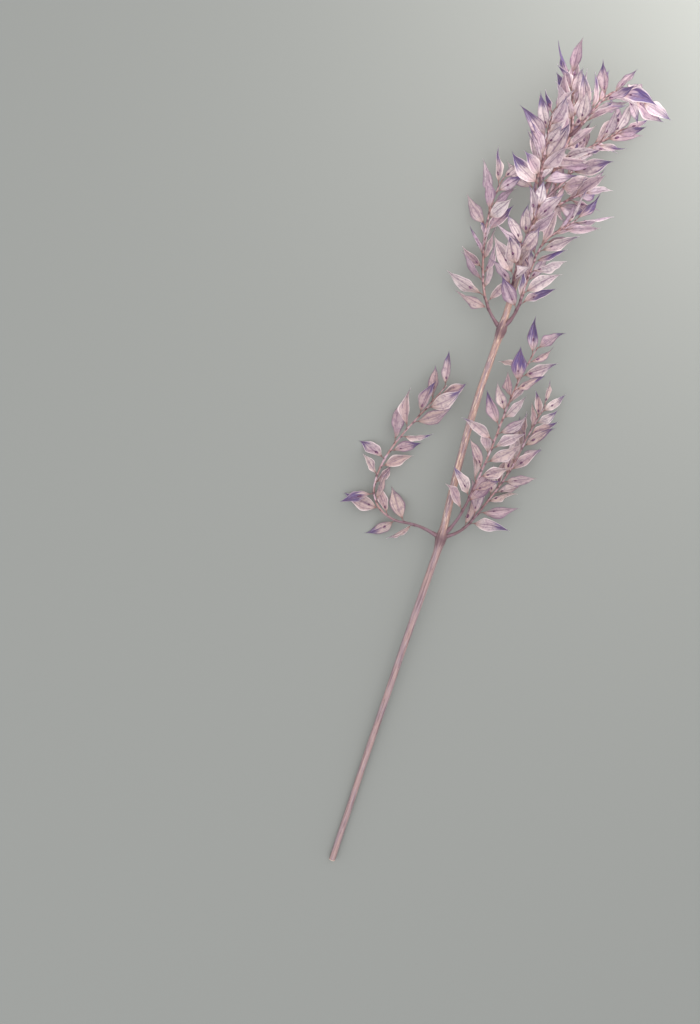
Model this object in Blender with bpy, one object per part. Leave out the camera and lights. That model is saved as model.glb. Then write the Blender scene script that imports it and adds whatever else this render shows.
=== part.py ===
"""Dried ruscus stem, cut and laid on a surface.

A long bare stalk carries side shoots in three whorls, and each shoot carries leaf blades by turns
on its two sides. Units are metres. +Y runs from the cut end to the tip, +Z is up, and the stem
rests on z = 0 at its cut end and on the blades that are pressed along the surface.
"""
import math

import bpy
import numpy as np
from mathutils.bvhtree import BVHTree

MM = 0.001
UP = (0.0, 0.0, 1.0)
CUT_END = (-2.2 * MM, -362.5 * MM)   # puts the origin under the middle of the whole stem
GAP = 0.3 * MM                  # between one node and the next
LINE_STEPS = 600                # fine steps in which a stalk's or shoot's line is worked out
FOOT_SAMPLES = 20               # points round a shoot's foot that are held clear of its parent

# The stalk: where its whorls stand, measured along it from the cut end.
WHORL_1 = 0.311
WHORL_2 = 0.494
WHORL_3 = 0.600
STALK_SIDES = 10
STALK_STEPS = 18
WHORL_SWELL = 0.9 * MM
WHORL_HALF_LENGTH = 8 * MM
WHORL_RINGS = (-1.6, -0.6, 0.0, 0.6, 1.6)   # where rings stand about a whorl, in half lengths
# (distance along the stalk, heading in degrees from +Y towards +X, pitch in degrees, radius)
STALK = (
    (0.000, 1.5, 0.0, 2.9 * MM),
    (0.020, 1.5, 0.0, 2.8 * MM),
    (0.080, 1.5, 2.8, 2.8 * MM),
    (0.295, 2.5, 2.8, 3.3 * MM),
    (0.330, -5.0, 2.7, 3.3 * MM),
    (0.400, -1.5, 2.7, 3.2 * MM),
    (0.470, 3.0, 2.6, 2.9 * MM),
    (0.530, -1.0, 2.6, 2.6 * MM),
    (0.600, 2.0, 2.6, 2.3 * MM),
    (0.614, 8.0, 3.0, 1.9 * MM),
)
STALK_LENGTH = STALK[-1][0]

# The side shoots. Headings and pitches are read at even steps from base to tip.
# name: parent, distance along it, length, radius at the base, headings, pitches, blades
SHOOTS = {
    "shoot_1_left": ("stalk", WHORL_1, 0.187, 1.40 * MM,
                     (-76, -99, -55, -4, 14, 24, 27, 25), (-8, -6, 0, 4, 4, 3, 3, 3), 21),
    "shoot_1_inner": ("stalk", WHORL_1, 0.182, 1.35 * MM,
                      (23, 9, 7, 7, 3, 5, 9, 14), (16, 9, 4, 2, 1, 0, -2, -2), 24),
    "shoot_1_outer": ("stalk", WHORL_1, 0.149, 1.30 * MM,
                      (58, 28, 21, 21, 15, 8, 11, 13), (-12, -8, -3, 2, 3, 3, 4, 4), 23),
    "shoot_2_left": ("stalk", WHORL_2, 0.131, 1.35 * MM,
                     (-49, -33, -21, -15, -14, -5, -1, 11), (-18, -14, -8, 0, 3, 4, 4, 4), 20),
    "shoot_2_right": ("stalk", WHORL_2, 0.112, 1.35 * MM,
                      (27, 8, -3, 4, 2, 20, 42, 44), (20, 14, 8, 4, 2, 0, -4, -6), 21),
    "shoot_2_front": ("stalk", 0.516, 0.082, 1.10 * MM,
                      (-12, -8, -3, 2, 6, 8), (32, 22, 10, 5, 3, 2), 17),
    "leader": ("stalk", STALK_LENGTH, 0.090, 1.70 * MM,
               (9, 7, 7, 8, -12, -20, -18, -19), (4, 5, 6, 4, 2, 2, 2, 2), 20),
    "shoot_3_front": ("stalk", WHORL_3, 0.074, 1.30 * MM,
                      (-24, -17, -8, -8, -7, -2), (26, 22, 12, 8, 6, 6), 18),
    "shoot_3_arching": ("stalk", WHORL_3, 0.095, 1.30 * MM,
                        (32, 32, 28, 14, 14, 52, 46, 42), (-24, -16, -10, -2, 0, 2, 3, 3), 20),
    "shoot_3_low": ("stalk", WHORL_3, 0.042, 1.15 * MM,
                    (92, 70, 60, 44, 50, 53), (-36, -32, -20, -8, 0, 2), 12),
    "shoot_3_under": ("stalk", WHORL_3, 0.082, 1.15 * MM,
                      (-34, -4, 10, 10, 6, 0), (-34, -24, -10, 2, 3, 3), 13),
    "shoot_4_arching": ("leader", 0.042, 0.072, 1.10 * MM,
                        (34, 20, 23, 28, 31, 66, 96, 97), (26, 20, 12, 6, 2, -2, -6, -8), 18),
}
SHOOT_SIDES = 5
SHOOT_STEP = 10 * MM
SHOOT_TIP_RADIUS = 0.75 * MM
FIRST_BLADE = 0.12              # shares of the shoot's length where its blades start and end
LAST_BLADE = 0.985

# The blades: a lance shape, folded along its midrib, with waved edges and a drawn-out tip.
BLADE_LENGTH = (24 * MM, 37 * MM)
BLADE_WIDTH_SHARE = (0.31, 0.44)
BLADE_THICKNESS = 0.7 * MM
LANCE_RISE = 0.9                # powers of the lance's width: how it opens from the foot,
LANCE_FALL = 1.8                # and how it draws in to the tip
BLADE_STATIONS = (0.10, 0.38, 0.70)
FOOT_SHARE = 0.10               # share of a blade's length that is its narrow foot
BLADE_FOOT = 0.6 * MM           # half width of the foot
BLADE_TIP = 0.25 * MM
BLADE_ANGLE = (27, 70)          # degrees from the shoot
ANGLE_CLOSE = 0.35              # share by which the last blades stand closer than the first
STRAY_SHARE = 0.15              # share of the blades that stand wider, by up to STRAY_ANGLE
STRAY_ANGLE = 45
BLADE_ROLL = 58                 # degrees each way
BLADE_FOLD = (10, 34)
BLADE_CURL = (-0.15, 0.20)
BLADE_HOOK = (-0.15, 0.15)
BLADE_TWIST = 1.0               # radians over the blade's length, each way
TWIST_PIVOT = 0.3               # share of the length where the twist is nothing
WAVE_HEIGHT = 0.8 * MM
WAVES = 1.6
WAVE_OFFSET = 2.1               # radians between the waves of a blade's two edges
SIDE_SPREAD = 48                # degrees that a blade may stand above or below its shoot's side
TIP_SIZE = 0.85                 # size of the last blades against the first
BUD_SHARE = 0.1
BUD_AT = 0.6                    # share of the way from a blade's first station to its second
BUD_SIZE = (0.8 * MM, 1.5 * MM, 1.0 * MM)   # half width, half length, height

FLOOR_BEND = 1.5 * MM           # height over which a blade bends to lie along the surface
FLOOR_REACH = 5 * MM            # deepest that a straight blade may reach below the surface
CLEARANCE = 0.45 * MM
TRIES = 60
EASE = 40                       # degrees by which the last tries may turn further
SEED = 0

STALK_COLOUR = (0.42, 0.25, 0.27, 1.0)
SHOOT_COLOUR = (0.56, 0.38, 0.46, 1.0)


def clear_scene():
    """Remove what the file opened with."""
    for item in list(bpy.data.objects):
        bpy.data.objects.remove(item, do_unlink=True)


def unit(v):
    return v / np.linalg.norm(v)


def between(ends, share):
    return ends[0] + (ends[1] - ends[0]) * share


def along(headings, pitches):
    """Unit directions from headings (clockwise from +Y) and pitches, in degrees."""
    h, p = np.radians(headings), np.radians(pitches)
    return np.stack([np.sin(h) * np.cos(p), np.cos(h) * np.cos(p), np.sin(p)], axis=-1)


def walk(start, length, direction):
    """Fine points of the line that leaves start and follows direction(share of its length)."""
    middles = (np.arange(LINE_STEPS) + 0.5) / LINE_STEPS
    moves = direction(middles) * (length / LINE_STEPS)
    return np.vstack([start, start + np.cumsum(moves, axis=0)])


def pick(points, radii, shares):
    """Points and radii of a line at shares of its length, where its rings stand."""
    places = np.linspace(0, 1, len(points))
    picked = [np.interp(shares, places, points[:, k]) for k in range(3)]
    return np.stack(picked, axis=1), np.interp(shares, places, radii)


def stalk_line():
    """The stalk's middle line, lying on z = 0 at its cut end, and its radii."""
    at, heading, pitch, radius = (np.array(column) for column in zip(*STALK))

    def direction(share):
        s = share * STALK_LENGTH
        return along(np.interp(s, at, heading), np.interp(s, at, pitch))

    start = np.array([*CUT_END, radius[0] * math.cos(math.pi / STALK_SIDES)])
    points = walk(start, STALK_LENGTH, direction)
    places = np.linspace(0, STALK_LENGTH, len(points))
    whorls = np.array([WHORL_1, WHORL_2, WHORL_3])
    swell = np.exp(-((places[:, None] - whorls) / WHORL_HALF_LENGTH) ** 2).sum(axis=1)
    radii = np.interp(places, at, radius) + WHORL_SWELL * swell
    near = (whorls[:, None] + WHORL_HALF_LENGTH * np.array(WHORL_RINGS)).ravel()
    rings = np.concatenate([np.linspace(0, STALK_LENGTH, STALK_STEPS + 1), near])
    rings = np.unique(rings[rings <= STALK_LENGTH])
    return pick(points, radii, rings / STALK_LENGTH)


def point_at(points, distance):
    """The point at a distance along a line of straight runs, and the line's direction there."""
    runs = np.diff(points, axis=0)
    lengths = np.linalg.norm(runs, axis=1)
    ends = np.cumsum(lengths)
    i = min(int(np.searchsorted(ends, distance)), len(runs) - 1)
    forward = runs[i] / lengths[i]
    return points[i] + forward * (distance - (ends[i] - lengths[i])), forward


def shoot_line(spec, lines):
    """A shoot's middle line and radii, from where its whole foot is just clear of its parent."""
    parent, distance, length, radius, headings, pitches, _ = spec
    start, _ = point_at(lines[parent][0], distance)
    knots = (np.arange(len(headings)) + 0.5) / len(headings)

    def direction(share):
        return along(np.interp(share, knots, headings), np.interp(share, knots, pitches))

    points = walk(start, length, direction)
    radii = np.linspace(radius, SHOOT_TIP_RADIUS, len(points))
    side, up, _ = frames(points)
    turn = np.linspace(0, 2 * math.pi, FOOT_SAMPLES, endpoint=False)[None, :, None]
    spokes = np.cos(turn) * side[:, None] + np.sin(turn) * up[:, None]
    edge = points[:, None] + radii[:, None, None] * spokes
    bark = solid_tree(*tube(*lines[parent], STALK_SIDES if parent == "stalk" else SHOOT_SIDES))
    near = edge[:LINE_STEPS // 4]
    away = np.array([min(bark.find_nearest(p)[3] for p in ring) for ring in near])
    first = int(np.flatnonzero(away < GAP)[-1]) + 1
    steps = max(4, round(length / SHOOT_STEP))
    return pick(points[first:], radii[first:], np.linspace(0, 1, steps + 1))


def frames(points):
    """Unit vectors across a line at each of its points: to its side, upwards, and along it."""
    forward = np.gradient(points, axis=0)
    forward /= np.linalg.norm(forward, axis=1, keepdims=True)
    side = np.cross(forward, UP)
    side /= np.linalg.norm(side, axis=1, keepdims=True)
    return side, np.cross(side, forward), forward


def tube(points, radii, sides):
    """A closed tube of flat facets: a ring at each point of a line, and a cap at each end."""
    side, up, _ = frames(points)
    turn = 2 * math.pi * (np.arange(sides) + 0.5) / sides - math.pi / 2
    spokes = (np.cos(turn)[None, :, None] * side[:, None]
              + np.sin(turn)[None, :, None] * up[:, None])
    rings = points[:, None] + radii[:, None, None] * spokes
    faces = [tuple(range(sides))]
    for i in range(0, sides * (len(points) - 1), sides):
        for j in range(sides):
            a, b = i + j, i + (j + 1) % sides
            faces.append((a, a + sides, b + sides, b))
    faces.append(tuple(reversed(range(i + sides, i + 2 * sides))))
    return rings.reshape(-1, 3), faces


def lance(u):
    """Half width of a blade along its length, 1 at its widest: a lance with a drawn-out tip."""
    s = np.clip((u - FOOT_SHARE) / (1 - FOOT_SHARE), 0.0, 1.0)
    widest = LANCE_RISE / (LANCE_RISE + LANCE_FALL)
    most = widest ** LANCE_RISE * (1 - widest) ** LANCE_FALL
    return s ** LANCE_RISE * (1 - s) ** LANCE_FALL / most


def lay(z, lowest):
    """Heights bent smoothly so that none is under lowest."""
    d = z - lowest
    bend = (d + FLOOR_BEND) ** 2 / (4 * FLOOR_BEND)
    return lowest + np.where(d > FLOOR_BEND, d, np.where(d < -FLOOR_BEND, 0.0, bend))


def blade_surface(leaf, u, v):
    """Points of a blade's middle surface, and its normal.

    u runs from foot to tip and v from -1 to 1 across. The midrib leaves along the blade's
    direction and bows by a square and a cube of u. Each half rises from it by the fold, and a
    sine along the length lifts the edges in waves. The whole turns round its midrib with u.
    """
    half = np.maximum(0.5 * leaf["width"] * lance(u), BLADE_FOOT * (1 - u) + BLADE_TIP * u)
    phase = leaf["wave"] + np.where(v > 0, WAVE_OFFSET, 0.0)
    wave = WAVE_HEIGHT * np.sin(2 * math.pi * WAVES * u + phase) * lance(u) * v ** 2
    rise = half * np.abs(v) * math.tan(leaf["fold"]) + wave
    turn = leaf["twist"] * (u - TWIST_PIVOT)
    across, lift = half * v, rise
    x = across * np.cos(turn) - lift * np.sin(turn)
    y = across * np.sin(turn) + lift * np.cos(turn)
    bow = leaf["length"] * leaf["curl"] * u ** 2
    hook = leaf["length"] * leaf["hook"] * u ** 3
    return (leaf["foot"]
            + (leaf["length"] * u)[..., None] * leaf["direction"]
            + (x + hook)[..., None] * leaf["side"]
            + (y + bow)[..., None] * leaf["normal"])


def blade(leaf, grow=0.0):
    """A blade as a closed solid: three points across each face, and the same triangles on both.

    It starts at an upright edge inside the shoot and ends at another at its tip.
    """
    rows = len(BLADE_STATIONS)
    u = np.concatenate([[0.0], np.repeat(BLADE_STATIONS, 3), [1.0]])
    v = np.concatenate([[0.0], np.tile([-1.0, 0.0, 1.0], rows), [0.0]])
    middle = blade_surface(dict(leaf, width=leaf["width"] + 2 * grow), u, v)
    half = leaf["normal"] * (0.5 * BLADE_THICKNESS + grow)
    top, bottom = middle + half, middle - half
    top[:, 2] = lay(top[:, 2], BLADE_THICKNESS + grow)
    bottom[:, 2] = lay(bottom[:, 2], -grow)
    n = len(middle)
    foot, tip, last = 0, n - 1, 3 * rows - 2
    faces = [(foot, 2, 1), (foot, 3, 2), (tip, last, last + 1), (tip, last + 1, last + 2)]
    for a in range(1, last, 3):
        faces += [(a, a + 1, a + 4), (a, a + 4, a + 3), (a + 1, a + 2, a + 4), (a + 2, a + 5, a + 4)]
    faces += [tuple(k + n for k in face[::-1]) for face in faces]
    left = range(1, last + 1, 3)
    right = range(3, last + 3, 3)
    rim = [foot, *left, tip, *reversed(right), foot]
    for a, b in zip(rim, rim[1:]):
        faces += [(a, b, b + n), (a, b + n, a + n)]
    return np.vstack([top, bottom]), faces


def bud(leaf):
    """The small bud half sunk in a blade's midrib, as a stretched octahedron.

    It sits on the straight run between the blade's first two stations.
    """
    ends = blade_surface(leaf, np.array(BLADE_STATIONS[:2]), np.zeros(2))
    ends = ends + leaf["normal"] * 0.5 * BLADE_THICKNESS
    ends[:, 2] = lay(ends[:, 2], BLADE_THICKNESS)
    centre = (1 - BUD_AT) * ends[0] + BUD_AT * ends[1]
    wide, long, high = BUD_SIZE
    arms = (leaf["side"] * wide, leaf["direction"] * long, leaf["normal"] * high)
    vertices = [centre + s * arm for arm in arms for s in (1, -1)]
    faces = []
    for i in (0, 1):
        for j in (2, 3):
            for k in (4, 5):
                even = (i + j + k) % 2 == 0
                faces.append((i, j, k) if even else (i, k, j))
    return np.array(vertices), faces


def draw_leaf(rng, points, share, turn_side, ease):
    """One leaf drawn at a share of its shoot's length: its foot, directions and form."""
    length = np.linalg.norm(np.diff(points, axis=0), axis=1).sum()
    foot, forward = point_at(points, share * length)
    side = unit(np.cross(forward, UP))
    up = np.cross(side, forward)
    draw = rng.uniform(-1, 1, 10)
    mix = 0.5 + 0.5 * draw
    spread = math.radians(SIDE_SPREAD + ease) * draw[0]
    out = math.cos(spread) * turn_side * side + math.sin(spread) * up
    stray = max(0.0, mix[1] - 1 + STRAY_SHARE) / STRAY_SHARE
    angle = between(BLADE_ANGLE, mix[1]) * (1 - ANGLE_CLOSE * share) + STRAY_ANGLE * stray
    angle = math.radians(angle)
    direction = unit(math.cos(angle) * forward + math.sin(angle) * out)
    flat = unit(np.array(UP) - direction * direction[2])
    roll = math.radians(BLADE_ROLL + ease) * draw[2]
    normal = math.cos(roll) * flat + math.sin(roll) * np.cross(direction, flat)
    blade_length = between(BLADE_LENGTH, mix[3]) * (1 + (TIP_SIZE - 1) * share)
    return {
        "foot": foot,
        "direction": direction,
        "normal": normal,
        "side": np.cross(direction, normal),
        "length": blade_length,
        "width": blade_length * between(BLADE_WIDTH_SHARE, mix[9]),
        "fold": math.radians(between(BLADE_FOLD, mix[4])),
        "curl": between(BLADE_CURL, mix[5]),
        "hook": between(BLADE_HOOK, mix[6]),
        "twist": BLADE_TWIST * draw[7],
        "wave": math.pi * draw[8],
    }


def reaches_down(leaf):
    """How far a leaf's straight shape would reach below the surface."""
    u = np.linspace(0, 1, 5)
    return -blade_surface(leaf, u, np.zeros(5))[:, 2].min()


def solid_tree(vertices, faces):
    return BVHTree.FromPolygons([tuple(v) for v in vertices], faces)


def find_room(rng, name, points, share, turn_side, solids):
    """Draw a leaf until it meets nothing, or nothing but its own shoot's leaves at the last."""
    kept = None
    others = [tree for other, trees in solids.items() if other != name for tree in trees]
    for attempt in range(TRIES):
        leaf = draw_leaf(rng, points, share, turn_side, EASE * attempt / TRIES)
        if reaches_down(leaf) > FLOOR_REACH:
            continue
        tree = solid_tree(*blade(leaf, CLEARANCE))
        if any(tree.overlap(other) for other in others):
            continue
        kept = leaf
        if not any(tree.overlap(other) for other in solids[name][1:]):
            break
    return kept


def grow_leaves(lines):
    """Place every shoot's leaves by turns on its two sides.

    A leaf is drawn again until its solid, made a little larger, meets no other leaf, shoot or
    stalk. A leaf that finds no room among the other shoots is left off.
    """
    rng = np.random.default_rng(SEED)
    solids = {name: [solid_tree(*tube(points, radii + CLEARANCE, SHOOT_SIDES))]
              for name, (points, radii) in lines.items()}
    leaves = {name: [] for name in SHOOTS}
    for name, spec in SHOOTS.items():
        count = spec[-1]
        for i in range(count):
            share = FIRST_BLADE + (LAST_BLADE - FIRST_BLADE) * i / (count - 1)
            leaf = find_room(rng, name, lines[name][0], share, 1 if i % 2 else -1, solids)
            if leaf is None:
                continue
            leaf["bud"] = rng.uniform() < BUD_SHARE
            leaves[name].append(leaf)
            solids[name].append(solid_tree(*blade(leaf, CLEARANCE)))
            if leaf["bud"]:
                solids[name].append(solid_tree(*bud(leaf)))
    return leaves


def add_object(name, vertices, faces, collection):
    mesh = bpy.data.meshes.new(name)
    mesh.from_pydata([tuple(v) for v in vertices], [], faces)
    mesh.update()
    item = bpy.data.objects.new(name, mesh)
    collection.objects.link(item)
    return item


def material(name, colour, roughness):
    made = bpy.data.materials.new(name)
    made.use_nodes = True
    shader = made.node_tree.nodes["Principled BSDF"]
    shader.inputs["Base Color"].default_value = colour
    shader.inputs["Roughness"].default_value = roughness
    shader.inputs["Metallic"].default_value = 0.0
    return made


def join(item, pieces):
    """Fuse loose solids into an object with one Boolean union, and remove them."""
    group = bpy.data.collections.new("pieces")
    bpy.context.scene.collection.children.link(group)
    for i, (vertices, faces) in enumerate(pieces):
        add_object(f"piece_{i}", vertices, faces, group)
    union = item.modifiers.new("union", "BOOLEAN")
    union.operation = "UNION"
    union.operand_type = "COLLECTION"
    union.collection = group
    union.solver = "EXACT"
    bpy.context.view_layer.objects.active = item
    with bpy.context.temp_override(object=item, active_object=item, selected_objects=[item]):
        bpy.ops.object.modifier_apply(modifier=union.name)
    for piece in list(group.objects):
        bpy.data.objects.remove(piece, do_unlink=True)
    bpy.data.collections.remove(group)


def make_stalk(points, radii):
    """The bare stalk, swollen a little at its whorls."""
    vertices, faces = tube(points, radii, STALK_SIDES)
    stalk = add_object("stalk", vertices, faces, bpy.context.scene.collection)
    stalk.data.materials.append(material("dyed_stalk", STALK_COLOUR, 0.6))


def make_shoot(name, line, leaves, finish):
    """A side shoot with its leaves and their buds, fused in one solid."""
    vertices, faces = tube(*line, SHOOT_SIDES)
    shoot = add_object(name, vertices, faces, bpy.context.scene.collection)
    pieces = [blade(leaf) for leaf in leaves]
    pieces += [bud(leaf) for leaf in leaves if leaf["bud"]]
    join(shoot, pieces)
    shoot.data.materials.append(finish)


def main():
    clear_scene()
    lines = {"stalk": stalk_line()}
    for name, spec in SHOOTS.items():
        lines[name] = shoot_line(spec, lines)
    leaves = grow_leaves(lines)
    make_stalk(*lines["stalk"])
    finish = material("dyed_leaf", SHOOT_COLOUR, 0.65)
    for name in SHOOTS:
        make_shoot(name, lines[name], leaves[name], finish)


main()
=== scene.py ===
"""Looks of a dried ruscus stem, dyed a dusty mauve, that lies on a pale floor.

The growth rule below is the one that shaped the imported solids, with the same sizes and the same
seed, so every fine twig, blade and bud made here stands where its plain solid stands.
"""

import functools
import math

import bpy
import numpy as np
from mathutils import Matrix, Vector
from mathutils.bvhtree import BVHTree


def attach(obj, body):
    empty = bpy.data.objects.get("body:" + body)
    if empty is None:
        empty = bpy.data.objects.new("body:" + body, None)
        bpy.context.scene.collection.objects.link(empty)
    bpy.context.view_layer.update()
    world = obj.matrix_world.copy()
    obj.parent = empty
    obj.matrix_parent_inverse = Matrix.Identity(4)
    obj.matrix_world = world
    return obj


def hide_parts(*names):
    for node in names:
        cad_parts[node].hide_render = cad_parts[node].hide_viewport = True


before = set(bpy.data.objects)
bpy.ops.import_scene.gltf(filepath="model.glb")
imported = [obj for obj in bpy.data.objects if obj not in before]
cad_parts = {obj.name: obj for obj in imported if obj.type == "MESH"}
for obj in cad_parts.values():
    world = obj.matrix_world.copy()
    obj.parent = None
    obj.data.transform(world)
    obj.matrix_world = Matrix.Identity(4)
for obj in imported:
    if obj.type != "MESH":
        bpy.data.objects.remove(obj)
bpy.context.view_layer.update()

bl_info = {
    "name": "Dried ruscus stem",
    "version": (1, 0, 0),
    "blender": (4, 5, 0),
    "location": "3D View > Sidebar > Ruscus",
    "description": "Dresses a dried, dyed ruscus stem in fine twigs, papery blades and buds",
    "category": "Object",
}

MM = 0.001
UP = (0.0, 0.0, 1.0)
CUT_END = (-2.2 * MM, -362.5 * MM)   # puts the origin under the middle of the whole stem
GAP = 0.3 * MM                  # between one node and the next
LINE_STEPS = 600                # fine steps in which a stalk's or shoot's line is worked out
FOOT_SAMPLES = 20               # points round a shoot's foot that are held clear of its parent

# The stalk: where its whorls stand, measured along it from the cut end.
WHORL_1 = 0.311
WHORL_2 = 0.494
WHORL_3 = 0.600
WHORLS = (WHORL_1, WHORL_2, WHORL_3)
STALK_SIDES = 10
STALK_STEPS = 18
WHORL_SWELL = 0.9 * MM
WHORL_HALF_LENGTH = 8 * MM
WHORL_RINGS = (-1.6, -0.6, 0.0, 0.6, 1.6)   # where rings stand about a whorl, in half lengths
# (distance along the stalk, heading in degrees from +Y towards +X, pitch in degrees, radius)
STALK = (
    (0.000, 1.5, 0.0, 2.9 * MM),
    (0.020, 1.5, 0.0, 2.8 * MM),
    (0.080, 1.5, 2.8, 2.8 * MM),
    (0.295, 2.5, 2.8, 3.3 * MM),
    (0.330, -5.0, 2.7, 3.3 * MM),
    (0.400, -1.5, 2.7, 3.2 * MM),
    (0.470, 3.0, 2.6, 2.9 * MM),
    (0.530, -1.0, 2.6, 2.6 * MM),
    (0.600, 2.0, 2.6, 2.3 * MM),
    (0.614, 8.0, 3.0, 1.9 * MM),
)
STALK_LENGTH = STALK[-1][0]

# The side shoots. Headings and pitches are read at even steps from base to tip.
# name: parent, distance along it, length, radius at the base, headings, pitches, blades
SHOOTS = {
    "shoot_1_left": ("stalk", WHORL_1, 0.187, 1.40 * MM,
                     (-76, -99, -55, -4, 14, 24, 27, 25), (-8, -6, 0, 4, 4, 3, 3, 3), 21),
    "shoot_1_inner": ("stalk", WHORL_1, 0.182, 1.35 * MM,
                      (23, 9, 7, 7, 3, 5, 9, 14), (16, 9, 4, 2, 1, 0, -2, -2), 24),
    "shoot_1_outer": ("stalk", WHORL_1, 0.149, 1.30 * MM,
                      (58, 28, 21, 21, 15, 8, 11, 13), (-12, -8, -3, 2, 3, 3, 4, 4), 23),
    "shoot_2_left": ("stalk", WHORL_2, 0.131, 1.35 * MM,
                     (-49, -33, -21, -15, -14, -5, -1, 11), (-18, -14, -8, 0, 3, 4, 4, 4), 20),
    "shoot_2_right": ("stalk", WHORL_2, 0.112, 1.35 * MM,
                      (27, 8, -3, 4, 2, 20, 42, 44), (20, 14, 8, 4, 2, 0, -4, -6), 21),
    "shoot_2_front": ("stalk", 0.516, 0.082, 1.10 * MM,
                      (-12, -8, -3, 2, 6, 8), (32, 22, 10, 5, 3, 2), 17),
    "leader": ("stalk", STALK_LENGTH, 0.090, 1.70 * MM,
               (9, 7, 7, 8, -12, -20, -18, -19), (4, 5, 6, 4, 2, 2, 2, 2), 20),
    "shoot_3_front": ("stalk", WHORL_3, 0.074, 1.30 * MM,
                      (-24, -17, -8, -8, -7, -2), (26, 22, 12, 8, 6, 6), 18),
    "shoot_3_arching": ("stalk", WHORL_3, 0.095, 1.30 * MM,
                        (32, 32, 28, 14, 14, 52, 46, 42), (-24, -16, -10, -2, 0, 2, 3, 3), 20),
    "shoot_3_low": ("stalk", WHORL_3, 0.042, 1.15 * MM,
                    (92, 70, 60, 44, 50, 53), (-36, -32, -20, -8, 0, 2), 12),
    "shoot_3_under": ("stalk", WHORL_3, 0.082, 1.15 * MM,
                      (-34, -4, 10, 10, 6, 0), (-34, -24, -10, 2, 3, 3), 13),
    "shoot_4_arching": ("leader", 0.042, 0.072, 1.10 * MM,
                        (34, 20, 23, 28, 31, 66, 96, 97), (26, 20, 12, 6, 2, -2, -6, -8), 18),
}
SHOOT_SIDES = 5
SHOOT_STEP = 10 * MM
SHOOT_TIP_RADIUS = 0.75 * MM
FIRST_BLADE = 0.12              # shares of the shoot's length where its blades start and end
LAST_BLADE = 0.985

# The blades: a lance shape, folded along its midrib, with waved edges and a drawn-out tip.
BLADE_LENGTH = (24 * MM, 37 * MM)
BLADE_WIDTH_SHARE = (0.31, 0.44)
BLADE_THICKNESS = 0.7 * MM
LANCE_RISE = 0.9                # powers of the lance's width: how it opens from the foot,
LANCE_FALL = 1.8                # and how it draws in to the tip
BLADE_STATIONS = (0.10, 0.38, 0.70)
FOOT_SHARE = 0.10               # share of a blade's length that is its narrow foot
BLADE_FOOT = 0.6 * MM           # half width of the foot
BLADE_TIP = 0.25 * MM
BLADE_ANGLE = (27, 70)          # degrees from the shoot
ANGLE_CLOSE = 0.35              # share by which the last blades stand closer than the first
STRAY_SHARE = 0.15              # share of the blades that stand wider, by up to STRAY_ANGLE
STRAY_ANGLE = 45
BLADE_ROLL = 58                 # degrees each way
BLADE_FOLD = (10, 34)
BLADE_CURL = (-0.15, 0.20)
BLADE_HOOK = (-0.15, 0.15)
BLADE_TWIST = 1.0               # radians over the blade's length, each way
TWIST_PIVOT = 0.3               # share of the length where the twist is nothing
WAVE_HEIGHT = 0.8 * MM
WAVES = 1.6
WAVE_OFFSET = 2.1               # radians between the waves of a blade's two edges
SIDE_SPREAD = 48                # degrees that a blade may stand above or below its shoot's side
TIP_SIZE = 0.85                 # size of the last blades against the first
BUD_SHARE = 0.1
BUD_AT = 0.6                    # share of the way from a blade's first station to its second
BUD_SIZE = (0.8 * MM, 1.5 * MM, 1.0 * MM)   # half width, half length, height

FLOOR_BEND = 1.5 * MM           # height over which a blade bends to lie along the surface
FLOOR_REACH = 5 * MM            # deepest that a straight blade may reach below the surface
CLEARANCE = 0.45 * MM
TRIES = 60
EASE = 40                       # degrees by which the last tries may turn further
SEED = 0

# The fine surfaces. Sizes are in metres.
STALK_ROWS = 460
STALK_COLUMNS = 30
STALK_FILL = 0.965              # a round stalk's radius against the faceted one's corners
TWIG_ROW = 1.3 * MM             # length of a twig between two rings
TWIG_COLUMNS = 14
TWIG_FILL = 0.76
LEADER_ROOT = 4 * MM            # how far the leader reaches back into the stalk's end
BLADE_ROWS = 29
BLADE_COLUMNS = 11              # points across one face of a blade
FINE_LANCE = (1.25, 1.85, 0.11) # powers and foot of the curved outline that the faceted one
                                # stands for, and below its width and length against it
FINE_WIDTH = 1.1
FINE_LENGTH = 1.1
FOLD_ROUND = 0.09               # half width of the rounded midrib, as a share of the half blade
TIP_FROM = 0.62                 # share of a blade's length where its tip begins to curl
TWIST_MORE = 1.2                # the fine blade's twist against the faceted one's
RIPPLES = 3.7                   # ripples along a blade's edge
MIDRIB_RISE = 0.22 * MM         # how far the midrib stands out of a blade's lower face
UNEVEN = ((0.07, 8), (0.05, 17))    # depth and radians of the two sines in a blade's outline
DENTS = (9, 3.6)                # radians of the dents' sines, along a blade and across its half
BOAT = (0.5, 0.22)              # how far a blade's foot folds up more, and its edges less
BUD_ROWS = 9
BUD_COLUMNS = 9
BUD_LEAN = (1.0, 0.35)          # a bud's axis: along its blade, and up off it
BUD_PINCH = 0.22                # how deep a bud is pinched between its three bracts
# (count round the stalk, height, drift along it, turn) of the cosines that make its furrows
FURROWS = ((5, 1.0, 0.9, 0.0), (9, 0.8, -0.7, 2.0), (14, 0.6, 1.0, 0.0))
DRIFT = ((1.0, 23, 0), (0.6, 61, 1))    # height, radians to a metre and start of its two sines
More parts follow.
